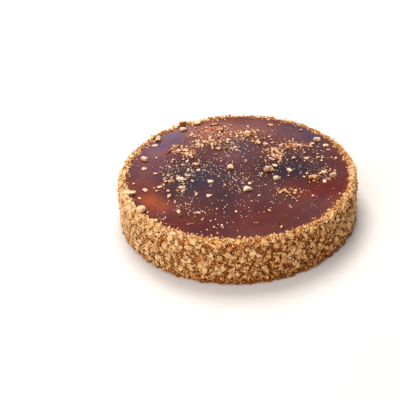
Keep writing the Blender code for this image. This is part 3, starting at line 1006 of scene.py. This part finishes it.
draw = random.Random(401)
small_crumbs, middle_crumbs = [], []
for middle, size in crumbs_of_solid("mocha_glaze", GLAZE_TOP + 0.05 * MM):
    bake, length = draw.triangular(-0.1, 0.75, 0.15), max(size.x, size.y)
    if length < MIDDLE_LENGTH:
        facing = Vector((draw.gauss(0, 0.15), draw.gauss(0, 0.15), 1))
        place = (middle.x, middle.y, GLAZE_TOP + 0.2 * length)
        small_crumbs.append((place, facing, SMALL_GROWTH * length, bake))
        continue
    place = Vector((middle.x, middle.y, GLAZE_TOP + 0.2 * size.z))
    crumb = lump(
        "fallen_middle", place, rough_size(*size), draw.uniform(-15, 15), draw.choice((1, 1, 2)),
        draw.choice((3, 4, 5)), MIDDLE_GRAIN, GLAZE_TOP - MIDDLE_SUNK, bake, 410 + len(middle_crumbs),
    )
    fit_to_box(crumb, middle - MIDDLE_GROWTH * size / 2, middle + MIDDLE_GROWTH * size / 2)
    middle_crumbs.append(crumb)
take_up(middle_crumbs[0])
for crumb in middle_crumbs[1:]:
    crumb.select_set(True)
bpy.ops.object.join()
middle_crumbs[0].name = "fallen_middle"
middle_crumbs[0].data.materials.append(strewn_bake)
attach(middle_crumbs[0], "root")

# Fallen crumbs
# Finer crushings of the same biscuit that lie on the glaze between the chunks: golden and toasted clumps in
# drifts, and pale dust nearly everywhere. The larger ones lie where the glaze's solid has them.

STREWN_SHADED = 1.1
LYING_HEIGHT = 0.22
LYING_TILT = 0.35
CLEAR_OF_RIM = 2 * MM
# The drifts: middle and spread in millimetres, and how many crumbs
DRIFTS = {
    "golden": (
        (-67, 47, 5, 5, 60), (-53, 40, 4, 4, 46), (-44, 58, 4, 5, 40), (-28, 61, 5, 4, 40),
        (-36, 68, 9, 6, 44), (-22, 98, 4, 4, 22), (-16, 85, 4, 5, 28), (14, 79, 8, 6, 54),
        (62, 50, 9, 4, 100), (41, 40, 6, 3, 44), (43, 27, 5, 5, 56), (-72, -14, 4, 5, 26),
        (-83, -26, 4, 4, 12), (-60, -15, 5, 5, 28), (-59, -34, 4, 5, 18), (56, -46, 9, 7, 30),
        (33, -3, 5, 5, 12), (93, -9, 6, 6, 22), (0, 0, 70, 60, 84), (22, 64, 20, 7, 40),
        (-18, 78, 26, 12, 64), (-46, 99, 12, 5, 10), (84, 34, 12, 9, 24), (-32, -78, 24, 13, 18),
    ),
    "toasted": (
        (-67, 48, 5, 4, 26), (-53, 41, 4, 3, 18), (-22, 98, 4, 4, 16), (-16, 85, 4, 5, 20),
        (14, 79, 8, 6, 24), (25, 59, 4, 4, 14), (66, 50, 8, 4, 50), (41, 40, 6, 3, 24),
        (47, 26, 4, 4, 12), (56, -46, 9, 6, 16), (80, -24, 4, 5, 14), (0, 20, 60, 60, 24),
    ),
    "pale": (
        (-4, 53, 8, 9, 110), (-46, 4, 16, 14, 150), (-74, 12, 9, 10, 80), (-3, -15, 12, 12, 110),
        (-50, -62, 12, 11, 60), (-32, 18, 14, 10, 90), (93, -9, 8, 8, 50), (76, 8, 16, 12, 80),
        (20, 10, 50, 40, 180), (0, 0, 62, 62, 230), (40, -70, 36, 26, 60), (81, 48, 8, 5, 20),
        (-24, -88, 26, 11, 60), (10, 92, 36, 9, 60), (60, 22, 28, 14, 70), (-30, 55, 20, 12, 60),
    ),
}
FALLEN_LENGTHS = {
    "golden": (0.9 * MM, 3.6 * MM),
    "toasted": (0.9 * MM, 3.8 * MM),
    "pale": (0.4 * MM, 1.6 * MM),
}
FALLEN_BAKES = {"golden": (0.15, 0.95, 0.45), "toasted": (0.45, 1.0, 0.8), "pale": (-0.1, 0.6, 0.15)}


def fallen_crumbs(kind, seed):
    """The crumbs of one kind that fell on the glaze, drift by drift."""
    draw = random.Random(seed)
    found = []
    for x, y, spread_x, spread_y, count in DRIFTS[kind]:
        for crumb in range(count):
            place = Vector((draw.gauss(x, spread_x) * MM, draw.gauss(y, spread_y) * MM, 0))
            length = skewed(draw, FALLEN_LENGTHS[kind])
            if reach(place) > GLAZE_RADIUS - CLEAR_OF_RIM:
                continue
            place.z = GLAZE_TOP + LYING_HEIGHT * length
            facing = Vector((draw.gauss(0, LYING_TILT), draw.gauss(0, LYING_TILT), 1))
            found.append((place, facing, length, draw.triangular(*FALLEN_BAKES[kind])))
    return found


for seed, kind in enumerate(DRIFTS, start=301):
    crumbs = fallen_crumbs(kind, seed) + (small_crumbs if kind == "golden" else [])
    moulds = flake_moulds + crumb_moulds + grain_moulds
    piece = sow("fallen_" + kind, moulds, crumbs, STREWN_SHADED, seed)
    piece.data.materials.append(strewn_bake)

# Floor
# A plain white studio sheet, large enough to fill the view.

FLOOR_SIZE = 12.0
FLOOR_BELOW = 0.2 * MM
PAPER_WHITE = (0.684, 0.650, 0.626, 1.0)
nothing_selected()
bpy.ops.mesh.primitive_plane_add(size=FLOOR_SIZE, location=(0, 0, -FLOOR_BELOW))
floor = bpy.context.object
floor.name = "studio_floor"
paper, paper_shader = new_finish("white_paper", 0.95, 0.1)
paper_shader.inputs["Base Color"].default_value = PAPER_WHITE
floor.data.materials.append(paper)

# Light
# A soft box above and behind the cake, a large weak one at the front left, one overhead, and a white room.

LIT_SPOT = Vector((0, 0, 0.03))
ROOM_STRENGTH = 0.22


def soft_box(name, place, size, power, colour):
    """A square lamp that points at the cake."""
    lamp = bpy.data.lights.new(name, "AREA")
    lamp.shape = "SQUARE"
    lamp.size = size
    lamp.energy = power
    lamp.color = colour
    box = bpy.data.objects.new(name, lamp)
    box.location = place
    box.rotation_euler = (LIT_SPOT - Vector(place)).to_track_quat("-Z", "Y").to_euler()
    bpy.context.scene.collection.objects.link(box)


soft_box("key", (-0.12, 0.62, 1.35), 0.8, 27.0, (1.0, 0.98, 0.95))
soft_box("fill", (-1.3, -1.5, 1.3), 2.2, 49.0, (1.0, 0.99, 0.97))
soft_box("ceiling", (-0.2, -0.4, 2.0), 2.4, 12.5, (1.0, 1.0, 1.0))
room = bpy.data.worlds.new("white_room")
room.use_nodes = True
room.node_tree.nodes["Background"].inputs["Color"].default_value = (1.0, 1.0, 1.0, 1.0)
room.node_tree.nodes["Background"].inputs["Strength"].default_value = ROOM_STRENGTH
bpy.context.scene.world = room
bpy.context.scene.view_settings.view_transform = "Standard"

# Camera
# A long lens, looking down at the cake's front, turned a little so that the cake's right side rises.

CAMERA_AIM = Vector((0, 0, 0.0251))
CAMERA_AWAY = 0.8505
CAMERA_DOWN = math.radians(34.07)
CAMERA_ROLL = math.radians(2.13)
SENSOR = 36.0
LENS_PER_SENSOR = 1.92
PICTURE = 400.0
AIM_PIXEL = (238.0, 189.9)
camera = bpy.data.objects.new("camera", bpy.data.cameras.new("camera"))
bpy.context.scene.collection.objects.link(camera)
back = Vector((0, -math.cos(CAMERA_DOWN), math.sin(CAMERA_DOWN)))
camera.location = CAMERA_AIM + back * CAMERA_AWAY
camera.rotation_mode = "QUATERNION"
camera.rotation_quaternion = (-back).to_track_quat("-Z", "Y") @ Quaternion((0, 0, 1), -CAMERA_ROLL)
camera.data.sensor_width = SENSOR
camera.data.lens = SENSOR * LENS_PER_SENSOR
camera.data.shift_x = (PICTURE / 2 - AIM_PIXEL[0]) / PICTURE
camera.data.shift_y = (AIM_PIXEL[1] - PICTURE / 2) / PICTURE
camera.data.clip_start = 0.01
bpy.context.scene.camera = camera
